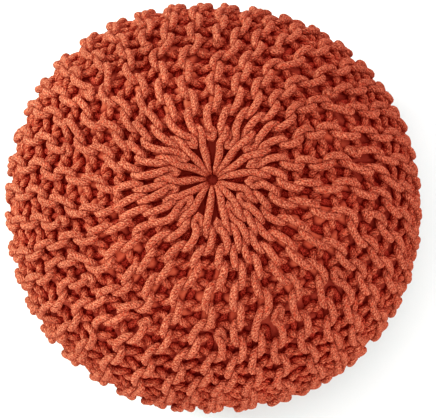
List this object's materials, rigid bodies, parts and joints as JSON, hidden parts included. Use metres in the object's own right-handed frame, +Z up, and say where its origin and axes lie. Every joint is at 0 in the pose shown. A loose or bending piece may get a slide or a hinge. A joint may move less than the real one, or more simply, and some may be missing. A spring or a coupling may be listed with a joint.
{
  "type": "knitted pouf",
  "caption": "Round stuffed floor pouf: a cloth bag inside a chunky ribbed knit cover gathered at the top and base, with a flat underside.",
  "frame": {"origin": "on the floor, under the centre of the flat base", "axes": "+Z up through the gathered centre; +X to the right and -Y towards the viewer of the picture"},
  "size_m": [0.4938, 0.4933, 0.2967],
  "materials": {
    "knit_cover": "thick burnt orange cotton cord, matt, with fine darker and lighter flecks",
    "inner_bag": "plain woven cotton, red-orange, matt"
  },
  "bodies": {
    "root": {"knit_cover": "knit_cover", "inner_bag": "inner_bag"}
  },
  "joints": []
}
